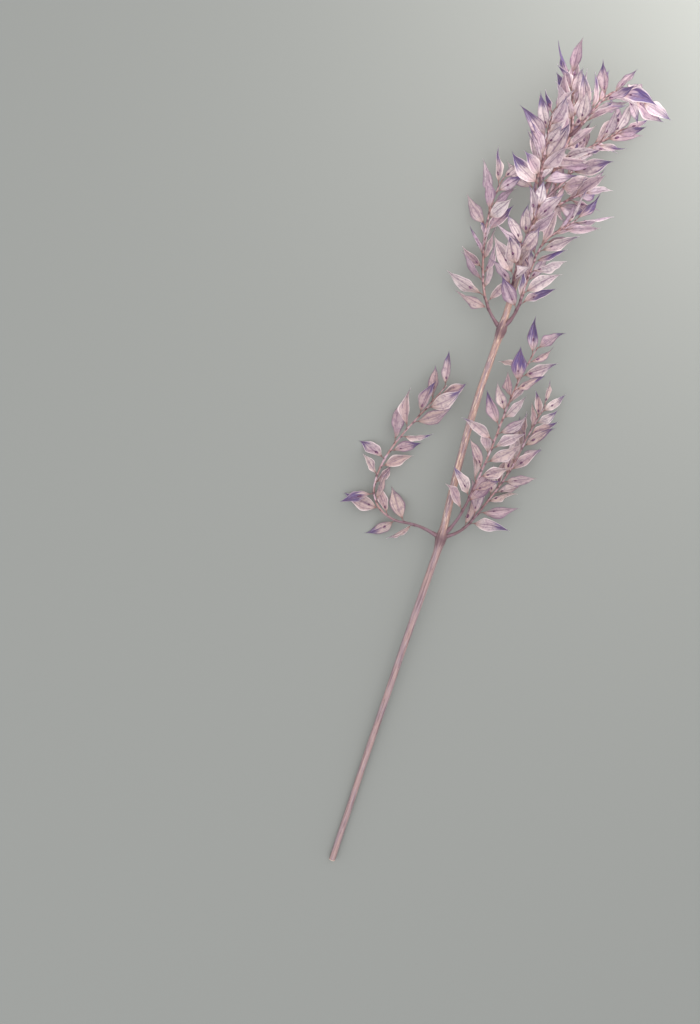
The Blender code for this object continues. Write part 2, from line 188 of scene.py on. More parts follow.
# (place along the stalk from a whorl, tilt, half width, height) of a whorl's two scars
SCARS = ((-5 * MM, -1.2 * MM, 0.9 * MM, 1.0), (4 * MM, 1.2 * MM, 1.1 * MM, 0.7))
LUMP_HALF = 4.6 * MM            # half length of a whorl's fine swelling
LUMP_UNEVEN = 0.3               # how much it swells more and less round the stalk
SWAY = 0.12 * MM                # how far the stalk's surface waves in and out
COLLAR_HALF = 3.2 * MM          # half length of a twig's collar
THICK_BASE = (0.4, 22 * MM)     # how much thicker a twig is at its base, and for how long
THIN_END = (0.5, 12)            # how much thinner it is at its end, and how suddenly
# (half width, place along the twig) of what stands at a blade's foot
NODE_SWELL = (1.5 * MM, 0.4 * MM)
NODE_RING = (0.6 * MM, -1.4 * MM)
NODE_DARK = (1.3 * MM, -0.3 * MM)
RING_SHARE = 0.3                # height of the ring against the swelling
# Length of each twig's dark base, by the start of its name.
BASE_STRETCH = {"shoot_1": 0.06, "shoot_2": 0.03, "shoot_3": 0.02, "shoot_4": 0.01, "leader": 0.01}

# What dye and drying did to the leaves: shares of them, and ranges to draw from.
LOOK_SEED = 11
TIPPED_SHARE = (0.46, 0.70)     # leaves with a violet tip, at a shoot's base and at its end
DEEP_SHARE = 0.05               # leaves steeped in violet
SMALL_BUD_SHARE = 0.44
PLAIN_VIOLET = (0.0, 0.12)
TIPPED_VIOLET = (0.3, 0.75)
DEEP_VIOLET = 1.2
CUP = (0.25, 1.0)
SMALL_BUD_AT = (0.26, 0.44)
SMALL_BUD_SIZE = (0.75, 1.35)
KEENNESS = (0.9, 1.9)           # the fine blade's fold against the faceted one's

# The stage.
FLOOR_HALF = 30.0
FLOOR_HEIGHT = -0.2 * MM
SKY_TONE = (0.94, 0.96, 1.0, 1.0)
SKY_STRENGTH = 1.5
# name, place, what it lights, size, power, tone, whether it casts a shadow
LIGHTS = (
    ("key", (0.26, 0.56, 1.45), (0.02, 0.10, 0.0), 1.6, 11, (1.0, 0.98, 0.96), True),
    ("fill", (-0.7, -0.9, 1.3), (0.0, -0.1, 0.0), 1.6, 11, (0.97, 0.98, 1.0), True),
    ("glow", (0.24, 0.62, 0.30), (0.18, 0.53, 0.0), 0.3, 4.8, (1.0, 0.99, 0.97), False),
)

# The camera, fitted to the stem's own lines in the photograph.
CAMERA_PLACE = (-0.1123, 0.0835, 1.0145)
CAMERA_LEAN = math.radians(15.894)
CAMERA_TILT = math.radians(8)
IMAGE_HEIGHT = 1024
FOCAL_PIXELS = 1180


def length(name, description, default):
    return bpy.props.FloatProperty(name=name, description=description, default=default,
                                   unit="LENGTH", precision=5)


def share(name, description, default):
    return bpy.props.FloatProperty(name=name, description=description, default=default,
                                   min=0, max=1, subtype="FACTOR")


def colour(name, description, *parts):
    """A linear colour, from its parts as a screen shows them, from 0 to 255."""
    parts = np.array(parts) / 255
    linear = np.where(parts <= 0.04045, parts / 12.92, ((parts + 0.055) / 1.055) ** 2.4)
    return bpy.props.FloatVectorProperty(name=name, description=description,
                                         default=tuple(linear.tolist()), size=3, min=0, max=1,
                                         subtype="COLOR")


class RuscusSizes(bpy.types.PropertyGroup):
    """Sizes of the fine surfaces."""
    blade_middle: length("Blade at midrib", "Thickness of a blade along its midrib", 0.34 * MM)
    blade_edge: length("Blade at edge", "Thickness of a blade at its edge", 0.14 * MM)
    petiole: length("Petiole", "Half width of a blade's narrow foot", 0.36 * MM)
    blade_tip: length("Blade tip", "Half width of a blade at its tip", 0.06 * MM)
    tip_curl: length("Tip curl", "How far drying bent a blade's tip aside", 2.2 * MM)
    whorl: length("Whorl", "How far the stalk swells at a whorl, over the solid's", 0.9 * MM)
    ripple: length("Ripple", "Height of the small ripples along a blade's edges", 0.32 * MM)
    rumple: length("Rumple", "Height of the dents that drying left in a blade", 0.3 * MM)
    rib: length("Twig rib", "Height of the ribs along a twig", 0.07 * MM)
    node: length("Twig node", "Swelling of a twig under each blade", 0.5 * MM)
    collar: length("Twig collar", "Swelling of a twig where it leaves its parent", 0.45 * MM)
    furrow: length("Stalk furrow", "Depth of the fine furrows along the stalk", 0.075 * MM)
    scar: length("Stalk scar", "Height of the scale scars round the stalk's whorls", 0.32 * MM)


class RuscusFinish(bpy.types.PropertyGroup):
    """Colours and finish of the dyed parts."""
    blade_pale: colour("Blade, pale", "Paler dye of the blades", 217, 208, 209)
    blade_mauve: colour("Blade, mauve", "Deeper dye of the blades", 188, 165, 182)
    blade_tan: colour("Blade, tan", "Undyed tan of the blades' feet", 192, 162, 150)
    blade_tip: colour("Blade, tip", "Violet dye gathered in the tips", 72, 50, 122)
    petiole: colour("Petiole", "Brown of the blades' thin stalks", 150, 108, 104)
    blade_edge: colour("Blade, edge", "Dye gathered along the edges", 120, 90, 116)
    # pale threads and lines of the blades, twigs and stalk; on the blades' rims the same pale
    # colour is a painted highlight along the edge
    pale_line_and_rim_highlight: colour("Blade, lines", "Pale threads and rims of the blades", 228, 214, 213)
    twig_base: colour("Twig, base", "Dye gathered at the twigs' bases", 82, 56, 66)
    twig: colour("Twig", "Colour of the twigs", 132, 98, 94)
    twig_dark: colour("Twig, dark", "Colour of the twigs' nodes and furrows", 74, 44, 52)
    stalk_mauve: colour("Stalk, mauve", "Dye of the stalk", 124, 104, 108)
    stalk_tan: colour("Stalk, tan", "Tan of the stalk, most of all between its whorls",
                      146, 116, 104)
    stalk_dark: colour("Stalk, dark", "Streaks and scars of the stalk", 80, 56, 62)
    bud: colour("Bud", "Dark plum of the buds", 74, 44, 70)
    bud_pale: colour("Bud, pale", "Paler plum of the buds", 112, 76, 100)
    pith: colour("Pith", "Pith at the cut end, and the stalk's pale flecks", 206, 184, 160)
    floor: colour("Floor", "Colour of the floor", 116, 117, 113)
    glow: share("Blade glow", "Share of light that passes through a blade", 0.5)


def unit(v):
    return v / np.linalg.norm(v)


def between(ends, share):
    return ends[0] + (ends[1] - ends[0]) * share


def along(headings, pitches):
    """Unit directions from headings (clockwise from +Y) and pitches, in degrees."""
    h, p = np.radians(headings), np.radians(pitches)
    return np.stack([np.sin(h) * np.cos(p), np.cos(h) * np.cos(p), np.sin(p)], axis=-1)


def walk(start, length, direction):
    """Fine points of the line that leaves start and follows direction(share of its length)."""
    middles = (np.arange(LINE_STEPS) + 0.5) / LINE_STEPS
    moves = direction(middles) * (length / LINE_STEPS)
    return np.vstack([start, start + np.cumsum(moves, axis=0)])


def pick(points, radii, shares):
    """Points and radii of a line at shares of its length, where its rings stand."""
    places = np.linspace(0, 1, len(points))
    picked = [np.interp(shares, places, points[:, k]) for k in range(3)]
    return np.stack(picked, axis=1), np.interp(shares, places, radii)


def stalk_line():
    """The stalk's middle line, lying on z = 0 at its cut end, and its radii."""
    at, heading, pitch, radius = (np.array(column) for column in zip(*STALK))

    def direction(share):
        s = share * STALK_LENGTH
        return along(np.interp(s, at, heading), np.interp(s, at, pitch))

    start = np.array([*CUT_END, radius[0] * math.cos(math.pi / STALK_SIDES)])
    points = walk(start, STALK_LENGTH, direction)
    places = np.linspace(0, STALK_LENGTH, len(points))
    whorls = np.array(WHORLS)
    swell = np.exp(-((places[:, None] - whorls) / WHORL_HALF_LENGTH) ** 2).sum(axis=1)
    radii = np.interp(places, at, radius) + WHORL_SWELL * swell
    near = (whorls[:, None] + WHORL_HALF_LENGTH * np.array(WHORL_RINGS)).ravel()
    rings = np.concatenate([np.linspace(0, STALK_LENGTH, STALK_STEPS + 1), near])
    rings = np.unique(rings[rings <= STALK_LENGTH])
    return pick(points, radii, rings / STALK_LENGTH)


def distances(points):
    """How far along a line of straight runs each of its points is."""
    return np.append(0, np.cumsum(np.linalg.norm(np.diff(points, axis=0), axis=1)))


def point_at(points, distance):
    """The point at a distance along a line of straight runs, and the line's direction there."""
    runs = np.diff(points, axis=0)
    lengths = np.linalg.norm(runs, axis=1)
    ends = np.cumsum(lengths)
    i = min(int(np.searchsorted(ends, distance)), len(runs) - 1)
    forward = runs[i] / lengths[i]
    return points[i] + forward * (distance - (ends[i] - lengths[i])), forward


def course(spec, lines):
    """A shoot's whole line in fine steps, from its parent's middle, and its radii."""
    parent, distance, long, radius, headings, pitches, _ = spec
    start, _ = point_at(lines[parent][0], distance)
    knots = (np.arange(len(headings)) + 0.5) / len(headings)

    def direction(share):
        return along(np.interp(share, knots, headings), np.interp(share, knots, pitches))

    points = walk(start, long, direction)
    return points, np.linspace(radius, SHOOT_TIP_RADIUS, len(points))


def shoot_line(spec, lines):
    """A shoot's middle line and radii, from where its whole foot is just clear of its parent."""
    parent, _, long, *_ = spec
    points, radii = course(spec, lines)
    side, up, _ = frames(points)
    turn = np.linspace(0, 2 * math.pi, FOOT_SAMPLES, endpoint=False)[None, :, None]
    spokes = np.cos(turn) * side[:, None] + np.sin(turn) * up[:, None]
    edge = points[:, None] + radii[:, None, None] * spokes
    bark = solid_tree(*tube(*lines[parent], STALK_SIDES if parent == "stalk" else SHOOT_SIDES))
    near = edge[:LINE_STEPS // 4]
    away = np.array([min(bark.find_nearest(p)[3] for p in ring) for ring in near])
    first = int(np.flatnonzero(away < GAP)[-1]) + 1
    steps = max(4, round(long / SHOOT_STEP))
    return pick(points[first:], radii[first:], np.linspace(0, 1, steps + 1))


def frames(points):
    """Unit vectors across a line at each of its points: to its side, upwards, and along it."""
    forward = np.gradient(points, axis=0)
    forward /= np.linalg.norm(forward, axis=1, keepdims=True)
    side = np.cross(forward, UP)
    side /= np.linalg.norm(side, axis=1, keepdims=True)
    return side, np.cross(side, forward), forward


def tube(points, radii, sides):
    """A closed tube of flat facets: a ring at each point of a line, and a cap at each end."""
    side, up, _ = frames(points)
    turn = 2 * math.pi * (np.arange(sides) + 0.5) / sides - math.pi / 2
    spokes = (np.cos(turn)[None, :, None] * side[:, None]
              + np.sin(turn)[None, :, None] * up[:, None])
    rings = points[:, None] + radii[:, None, None] * spokes
    faces = [tuple(range(sides))]
    for i in range(0, sides * (len(points) - 1), sides):
        for j in range(sides):
            a, b = i + j, i + (j + 1) % sides
            faces.append((a, a + sides, b + sides, b))
    faces.append(tuple(reversed(range(i + sides, i + 2 * sides))))
    return rings.reshape(-1, 3), faces


def lance(u, rise=LANCE_RISE, fall=LANCE_FALL, foot=FOOT_SHARE):
    """Half width of a blade along its length, 1 at its widest: a lance with a drawn-out tip."""
    s = np.clip((u - foot) / (1 - foot), 0.0, 1.0)
    widest = rise / (rise + fall)
    most = widest ** rise * (1 - widest) ** fall
    return s ** rise * (1 - s) ** fall / most


def lay(z, lowest):
    """Heights bent smoothly so that none is under lowest."""
    d = z - lowest
    bend = (d + FLOOR_BEND) ** 2 / (4 * FLOOR_BEND)
    return lowest + np.where(d > FLOOR_BEND, d, np.where(d < -FLOOR_BEND, 0.0, bend))


def blade_surface(leaf, u, v):
    """Points of a blade's middle surface, and its normal.

    u runs from foot to tip and v from -1 to 1 across. The midrib leaves along the blade's
    direction and bows by a square and a cube of u. Each half rises from it by the fold, and a
    sine along the length lifts the edges in waves. The whole turns round its midrib with u.
    """
    half = np.maximum(0.5 * leaf["width"] * lance(u), BLADE_FOOT * (1 - u) + BLADE_TIP * u)
    phase = leaf["wave"] + np.where(v > 0, WAVE_OFFSET, 0.0)
    wave = WAVE_HEIGHT * np.sin(2 * math.pi * WAVES * u + phase) * lance(u) * v ** 2
    rise = half * np.abs(v) * math.tan(leaf["fold"]) + wave
    turn = leaf["twist"] * (u - TWIST_PIVOT)
    x = half * v * np.cos(turn) - rise * np.sin(turn)
    y = half * v * np.sin(turn) + rise * np.cos(turn)
    bow = leaf["length"] * leaf["curl"] * u ** 2
    hook = leaf["length"] * leaf["hook"] * u ** 3
    return (leaf["foot"]
            + (leaf["length"] * u)[..., None] * leaf["direction"]
            + (x + hook)[..., None] * leaf["side"]
            + (y + bow)[..., None] * leaf["normal"])


def blade(leaf, grow=0.0):
    """A blade as a closed solid: three points across each face, and the same triangles on both.

    It starts at an upright edge inside the shoot and ends at another at its tip.
    """
    rows = len(BLADE_STATIONS)
    u = np.concatenate([[0.0], np.repeat(BLADE_STATIONS, 3), [1.0]])
    v = np.concatenate([[0.0], np.tile([-1.0, 0.0, 1.0], rows), [0.0]])
    middle = blade_surface(dict(leaf, width=leaf["width"] + 2 * grow), u, v)
    half = leaf["normal"] * (0.5 * BLADE_THICKNESS + grow)
    top, bottom = middle + half, middle - half
    top[:, 2] = lay(top[:, 2], BLADE_THICKNESS + grow)
    bottom[:, 2] = lay(bottom[:, 2], -grow)
    n = len(middle)
    foot, tip, last = 0, n - 1, 3 * rows - 2
    faces = [(foot, 2, 1), (foot, 3, 2), (tip, last, last + 1), (tip, last + 1, last + 2)]
    for a in range(1, last, 3):
        faces += [(a, a + 1, a + 4), (a, a + 4, a + 3),
                  (a + 1, a + 2, a + 4), (a + 2, a + 5, a + 4)]
    faces += [tuple(k + n for k in face[::-1]) for face in faces]
    left = range(1, last + 1, 3)
    right = range(3, last + 3, 3)
    rim = [foot, *left, tip, *reversed(right), foot]
    for a, b in zip(rim, rim[1:]):
        faces += [(a, b, b + n), (a, b + n, a + n)]
    return np.vstack([top, bottom]), faces


def bud(leaf):
    """The small bud half sunk in a blade's midrib, as a stretched octahedron.

    It sits on the straight run between the blade's first two stations.
    """
    ends = blade_surface(leaf, np.array(BLADE_STATIONS[:2]), np.zeros(2))
    ends = ends + leaf["normal"] * 0.5 * BLADE_THICKNESS
    ends[:, 2] = lay(ends[:, 2], BLADE_THICKNESS)
    centre = (1 - BUD_AT) * ends[0] + BUD_AT * ends[1]
    wide, long, high = BUD_SIZE
    arms = (leaf["side"] * wide, leaf["direction"] * long, leaf["normal"] * high)
    vertices = [centre + s * arm for arm in arms for s in (1, -1)]
    faces = []
    for i in (0, 1):
        for j in (2, 3):
            for k in (4, 5):
                even = (i + j + k) % 2 == 0
                faces.append((i, j, k) if even else (i, k, j))
    return np.array(vertices), faces


def draw_leaf(rng, points, share, turn_side, ease):
    """One leaf drawn at a share of its shoot's length: its foot, directions and form."""
    length = np.linalg.norm(np.diff(points, axis=0), axis=1).sum()
    foot, forward = point_at(points, share * length)
    side = unit(np.cross(forward, UP))
    up = np.cross(side, forward)
    draw = rng.uniform(-1, 1, 10)
    mix = 0.5 + 0.5 * draw
    spread = math.radians(SIDE_SPREAD + ease) * draw[0]
    out = math.cos(spread) * turn_side * side + math.sin(spread) * up
    stray = max(0.0, mix[1] - 1 + STRAY_SHARE) / STRAY_SHARE
    angle = between(BLADE_ANGLE, mix[1]) * (1 - ANGLE_CLOSE * share) + STRAY_ANGLE * stray
    angle = math.radians(angle)
    direction = unit(math.cos(angle) * forward + math.sin(angle) * out)
    flat = unit(np.array(UP) - direction * direction[2])
    roll = math.radians(BLADE_ROLL + ease) * draw[2]
    normal = math.cos(roll) * flat + math.sin(roll) * np.cross(direction, flat)
    blade_length = between(BLADE_LENGTH, mix[3]) * (1 + (TIP_SIZE - 1) * share)
    return {
        "foot": foot,
        "direction": direction,
        "normal": normal,
        "side": np.cross(direction, normal),
        "length": blade_length,
        "width": blade_length * between(BLADE_WIDTH_SHARE, mix[9]),
        "fold": math.radians(between(BLADE_FOLD, mix[4])),
        "curl": between(BLADE_CURL, mix[5]),
        "hook": between(BLADE_HOOK, mix[6]),
        "twist": BLADE_TWIST * draw[7],
        "wave": math.pi * draw[8],
    }


def reaches_down(leaf):
    """How far a leaf's straight shape would reach below the surface."""
    u = np.linspace(0, 1, 5)
    return -blade_surface(leaf, u, np.zeros(5))[:, 2].min()


def solid_tree(vertices, faces):
    return BVHTree.FromPolygons([tuple(v) for v in vertices], faces)


def find_room(rng, name, points, share, turn_side, solids):
    """Draw a leaf until it meets nothing, or nothing but its own shoot's leaves at the last."""
    kept = None
    others = [tree for other, trees in solids.items() if other != name for tree in trees]
    for attempt in range(TRIES):
        leaf = draw_leaf(rng, points, share, turn_side, EASE * attempt / TRIES)
        if reaches_down(leaf) > FLOOR_REACH:
            continue
        tree = solid_tree(*blade(leaf, CLEARANCE))
        if any(tree.overlap(other) for other in others):
            continue
        kept = leaf
        if not any(tree.overlap(other) for other in solids[name][1:]):
            break
    return kept


def grow_leaves(lines):
    """Place every shoot's leaves by turns on its two sides.

    A leaf is drawn again until its solid, made a little larger, meets no other leaf, shoot or
    stalk. A leaf that finds no room among the other shoots is left off.
    """
    rng = np.random.default_rng(SEED)
    solids = {name: [solid_tree(*tube(points, radii + CLEARANCE, SHOOT_SIDES))]
              for name, (points, radii) in lines.items()}
    leaves = {name: [] for name in SHOOTS}
    for name, spec in SHOOTS.items():
        count = spec[-1]
        for i in range(count):
            share = FIRST_BLADE + (LAST_BLADE - FIRST_BLADE) * i / (count - 1)
            leaf = find_room(rng, name, lines[name][0], share, 1 if i % 2 else -1, solids)
            if leaf is None:
                continue
            leaf["bud"] = rng.uniform() < BUD_SHARE
            leaves[name].append(leaf)
            solids[name].append(solid_tree(*blade(leaf, CLEARANCE)))
            if leaf["bud"]:
                solids[name].append(solid_tree(*bud(leaf)))
    return leaves


def fine_line(name, lines):
    """A shoot's line in fine steps, from inside its parent, and its radii."""
    points, radii = course(SHOOTS[name], lines)
    if name == "leader":
        root = points[0] - LEADER_ROOT * unit(points[1] - points[0])
        points, radii = np.vstack([root, points]), np.append(radii[0], radii)
    rows = max(12, round(SHOOTS[name][2] / TWIG_ROW))
    return pick(points, radii, np.linspace(0, 1, rows))


@functools.lru_cache(maxsize=1)
def growth():
    """The lines of the stalk and the shoots, and every shoot's leaves."""
    lines = {"stalk": stalk_line()}
    for name, spec in SHOOTS.items():
        lines[name] = shoot_line(spec, lines)
    leaves = grow_leaves(lines)
    rng = np.random.default_rng(LOOK_SEED)
    for name in SHOOTS:
        for i, leaf in enumerate(leaves[name]):
            leaf.update(draw_looks(rng, i / max(1, len(leaves[name]) - 1)))
    return lines, leaves


def draw_looks(rng, share):
    """What dye and drying did to one leaf, at a share of its shoot's length, and its rim."""
    draw = rng.uniform(0, 1, 12)
    violet = between(PLAIN_VIOLET, draw[3])
    if draw[0] < between(TIPPED_SHARE, share):
        violet = between(TIPPED_VIOLET, draw[3] ** 1.5)
    if draw[1] < DEEP_SHARE:
        violet = DEEP_VIOLET
    return {
        "tint": draw[2],
        "violet": violet,
        # edging: how dark the rim is; near 0 it is the pale painted highlight, higher up a dark
        # margin
        "edging": draw[4] ** 2,
        "phase": 2 * math.pi * draw[5],
        "cup": between(CUP, draw[6]),
        "number": 100 * draw[7],
        "small_bud": draw[8] < SMALL_BUD_SHARE,
        "bud_at": between(SMALL_BUD_AT, draw[9]),
        "bud_size": between(SMALL_BUD_SIZE, draw[10]),
        "keen": between(KEENNESS, draw[11] ** 1.4),
    }


def skin(rings):
    """Points of closed skins, from rings of pieces x rows x columns x parts.

    The mean of each piece's first ring and of its last is a pole.
    """
    pieces, *_, parts = rings.shape
    poles = rings[:, [0, -1]].mean(axis=2)
    return np.concatenate([rings.reshape(pieces, -1, parts), poles], axis=1).reshape(-1, parts)


def skin_faces(pieces, rows, columns):
    """Quads between the rings and a fan of triangles round each pole, all facing outwards."""
    j = np.arange(columns)
    k = (j + 1) % columns
    row = np.arange(rows - 1)[:, None] * columns
    quads = np.stack([row + j, row + columns + j, row + columns + k, row + k], axis=-1)
    quads = quads.reshape(-1, 4)
    last, pole = (rows - 1) * columns, np.full(columns, rows * columns)
    fans = np.vstack([np.stack([pole, j, k], axis=-1),
                      np.stack([pole + 1, last + k, last + j], axis=-1)])
    first = (np.arange(pieces) * (rows * columns + 2))[:, None, None]
    return (quads + first).reshape(-1, 4).tolist() + (fans + first).reshape(-1, 3).tolist()


def put(name, data):
    """An object in the scene, of a mesh, a camera or a light."""
    made = bpy.data.objects.new(name, data)
    bpy.context.scene.collection.objects.link(made)
    return made


def add_piece(name, rings, attributes, finishes, crease=55):
    """A smooth-shaded mesh of closed skins, with point attributes that its materials read."""
    mesh = bpy.data.meshes.new(name)
    mesh.from_pydata(skin(rings).tolist(), [], skin_faces(*rings.shape[:3]))
    mesh.shade_smooth()
    mesh.set_sharp_from_angle(angle=math.radians(crease))
    for label, values in attributes.items():
        layer = mesh.attributes.new(label, "FLOAT_VECTOR", "POINT")
        layer.data.foreach_set("vector", skin(values).astype(np.float32).ravel())
    for finish in finishes:
        mesh.materials.append(finish)
    piece = put(name, mesh)
    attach(piece, "root")
    return piece


def round_rings(points, radii, columns, relief):
    """Rings round a line, and where each of their points lies.

    A ring's point is the line's point plus the radius and relief(distance, angle), times the
    spoke at that angle. The second array holds the spoke's cosine and sine and the distance.
    """
    side, up, _ = frames(points)
    distance = distances(points)[:, None]
    angle = (2 * math.pi * np.arange(columns) / columns)[None]
    spokes = np.cos(angle)[..., None] * side[:, None] + np.sin(angle)[..., None] * up[:, None]
    reach = radii[:, None] + relief(distance, angle)
    rings = points[:, None] + reach[..., None] * spokes
    place = np.stack(np.broadcast_arrays(np.cos(angle), np.sin(angle), distance), axis=-1)
    return rings[None], place[None]


def bump(x, width, place=0.0):
    """A smooth hump of height 1 and the given half width, at a place."""
    return np.exp(-((x - place) / width) ** 2)


def stalk_rings(sizes):
    """The stalk's rings, with fine furrows all along it and with swollen, scarred whorls.

    The furrows are three cosines round the stalk whose phases drift slowly along it. Each whorl
    has a short uneven swelling and a sharp scar above and below, tilted by a cosine of the angle.
    """
    points, radii = pick(*growth()[0]["stalk"], np.linspace(0, 1, STALK_ROWS))

    def relief(distance, angle):
        drift = sum(high * np.sin(far * distance + start) for high, far, start in DRIFT)
        rise = sizes.furrow * sum(high * np.cos(count * angle + sway * drift + turn)
                                  for count, high, sway, turn in FURROWS)
        for whorl in WHORLS:
            lump = sizes.whorl * (1 + LUMP_UNEVEN * np.cos(3 * angle + 50 * whorl))
            rise = rise + lump * bump(distance - whorl, LUMP_HALF)
            for at, tilt, half, high in SCARS:
                off = distance - whorl - at - tilt * np.cos(angle + 9 * whorl)
                rise = rise + high * sizes.scar * bump(off, half)
        return rise + SWAY * np.sin(41 * distance + angle) * np.sin(17 * distance)

    rings, place = round_rings(points, radii * STALK_FILL, STALK_COLUMNS, relief)
    rings[..., 2] = np.maximum(rings[..., 2], 0.0)
    return rings, place


def twig_rings(name, sizes):
    """A twig's rings: ribs along it, a collar at its foot, a swelling under each blade.

    The last array holds how near each point is to a blade's foot and to the twig's own base. The
    third of its parts stays 0.
    """
    lines, leaves = growth()
    points, radii = fine_line(name, lines)
    side, up, _ = frames(points)
    feet = np.array([leaf["foot"] for leaf in leaves[name]])
    ways = np.array([leaf["direction"] for leaf in leaves[name]])
    near = np.linalg.norm(points[None] - feet[:, None], axis=2).argmin(axis=1)
    turns = np.arctan2((ways * up[near]).sum(axis=1), (ways * side[near]).sum(axis=1))
    at = distances(points)
    first = np.linalg.norm(points - lines[name][0][0], axis=1).argmin()

    def relief(distance, angle):
        rise = sizes.rib * np.cos(6 * angle + 60 * distance)
        rise = rise + sizes.collar * bump(distance - at[first], COLLAR_HALF)
        for i, turn in zip(near, turns):
            facing = (0.5 + 0.5 * np.cos(angle - turn)) ** 2
            rise = rise + sizes.node * bump(distance - at[i], *NODE_SWELL) * facing
            rise = rise + RING_SHARE * sizes.node * bump(distance - at[i], *NODE_RING)
        return rise

    (thick, stretch), (thin, late) = THICK_BASE, THIN_END
    taper = 1 - thin * np.linspace(0, 1, len(points)) ** late
    taper = taper + thick * bump(at - at[first], stretch)
    rings, place = round_rings(points, radii * TWIG_FILL * taper, TWIG_COLUMNS, relief)
    distance = place[..., 2]
    angle = np.arctan2(place[..., 1], place[..., 0])[..., None]
    facing = 0.6 + 0.4 * np.cos(angle - turns)
    knot = (bump(distance[..., None] - at[near], *NODE_DARK) * facing).max(axis=-1)
    base = np.clip(1 - (distance - at[first]) / BASE_STRETCH[name[:7]], 0, 1)
    return rings, place, np.stack([knot, base, 0 * base], axis=-1)


def stacked(leaves):
    """A function that gives one value of every leaf, shaped to meet a grid of rows and columns."""
    def of(key):
        values = np.array([leaf[key] for leaf in leaves], dtype=float)
        return values.reshape(len(leaves), 1, 1, -1) if values.ndim > 1 else values[:, None, None]

    return of


def fine_blades(leaves, u, v, lift, sizes):
    """Points on every blade of a shoot at u along it, v across it and lift off its middle surface.

    The form is blade_surface's: a lance folded along its midrib, waved at its edges, bowed,
    hooked and twisted. The fold is rounded into a boat near the foot, two sines make the outline
    uneven, one ripples the edges, two dent the halves, and the square of the last stretch of u
    bends the tip.
    """
    of = stacked(leaves)
    phase, more = of("wave"), of("phase")
    (slow, few), (quick, many) = UNEVEN
    torn = slow * np.sin(few * u + more + v) + quick * np.sin(many * u + 3 * phase - v)
    waist = lance(u, *FINE_LANCE) * (1 + torn)
    narrow = sizes.petiole * (1 - u) ** 2 + sizes.blade_tip * u
    half = np.maximum(0.5 * FINE_WIDTH * of("width") * waist, narrow)
    edge = WAVE_HEIGHT * np.sin(2 * math.pi * WAVES * u + phase + np.where(v > 0, WAVE_OFFSET, 0))
    ripple = sizes.ripple * np.sin(2 * math.pi * RIPPLES * u + more + 1.7 * v) * v ** 4
    dent = sizes.rumple * np.sin(DENTS[0] * u + more) * np.sin(DENTS[1] * v + phase)
    rounded = np.sqrt(v ** 2 + FOLD_ROUND ** 2) - FOLD_ROUND
    boat = 1 + BOAT[0] * of("cup") * (1 - u) - BOAT[1] * v ** 2
    fold = of("fold") * of("keen")
    rise = (half * rounded * np.sin(fold) * boat
            + (edge * v ** 2 + ripple + dent) * waist + lift)
    flat = half * v * np.cos(fold)
    turn = TWIST_MORE * of("twist") * (u - TWIST_PIVOT)
    x = flat * np.cos(turn) - rise * np.sin(turn)
    y = flat * np.sin(turn) + rise * np.cos(turn)
    long = FINE_LENGTH * of("length")
    tip = sizes.tip_curl * np.clip((u - TIP_FROM) / (1 - TIP_FROM), 0, 1) ** 2
    x = x + long * of("hook") * u ** 3 + tip * np.cos(more)
    y = y + long * of("curl") * u ** 2 + tip * np.sin(more)
    return (of("foot") + (long * u)[..., None] * of("direction")
            + x[..., None] * of("side") + y[..., None] * of("normal"))


def blade_rings(leaves, sizes):
    """Flat rings across every blade of a shoot, over its upper face and back under its lower."""
    u = (np.linspace(0, 1, BLADE_ROWS) ** 1.1)[None, :, None]
    across = np.linspace(1, -1, BLADE_COLUMNS)
    v = np.concatenate([across, across[::-1]])[None, None, :]
    face = np.repeat([1.0, -1.0], BLADE_COLUMNS)[None, None, :]
    thick = sizes.blade_edge + (sizes.blade_middle - sizes.blade_edge) * (1 - v ** 2)
    midrib = np.where(face < 0, MIDRIB_RISE, 0.0) * bump(v, 0.08) * (1 - u)
    stalked = 1 + 0.5 * bump(u, 0.07)
    lift = face * (0.5 * thick * stalked + midrib)
    rings = fine_blades(leaves, u, v, lift, sizes)
    rings[..., 2] = lay(rings[..., 2], np.where(face > 0, 0.6 * sizes.blade_middle, 0.0))
    of, ones = stacked(leaves), np.ones(rings.shape[:3])
    place = np.stack([u * ones, v * ones, of("number") * ones], axis=-1)
    # dye holds tint, violet and edging; edging turns the rim from a pale painted highlight to a
    # dark margin
    dye = np.stack([of(key) * ones for key in ("tint", "violet", "edging")], axis=-1)
    return rings, place, dye


def bud_rings(leaves, sizes):
    """A plum bud on each leaf's midrib: pointed rings, pinched into three bracts.

    The radius along the bud is a half sine raised to 0.7, drawn out at the tip, and swells and
    shrinks with the cosine of three times the angle. The bud leans up off the blade.
    """
    of = stacked(leaves)
    usual = between(BLADE_STATIONS[:2], BUD_AT)
    u = np.array([usual if leaf["bud"] else leaf["bud_at"] for leaf in leaves])[:, None, None]
    centre = fine_blades(leaves, u, 0 * u, 0.5 * sizes.blade_middle, sizes)
    centre[..., 2] = lay(centre[..., 2], BLADE_THICKNESS * 0.5)
    size = np.array([1.0 if leaf["bud"] else leaf["bud_size"] for leaf in leaves])
    size = size[:, None, None, None]
    wide, long, high = BUD_SIZE
    t = np.linspace(0.02, 0.98, BUD_ROWS)[None, :, None]
    angle = -(2 * math.pi * np.arange(BUD_COLUMNS) / BUD_COLUMNS)[None, None, :]
    pinch = 1 + BUD_PINCH * np.cos(3 * angle + 2 * t + of("phase"))
    swell = np.sin(math.pi * t ** 0.8) ** 0.7 * pinch
    ahead, up = unit(np.array(BUD_LEAN))
    way, normal = of("direction"), of("normal")
    axis = ahead * way + up * normal
    over = ahead * normal - up * way
    return centre + size * (
        (long * (2 * t - 1))[..., None] * axis
        + (wide * swell * np.sin(angle))[..., None] * of("side")
        + (high * (swell * np.cos(angle) + 0.25))[..., None] * over)


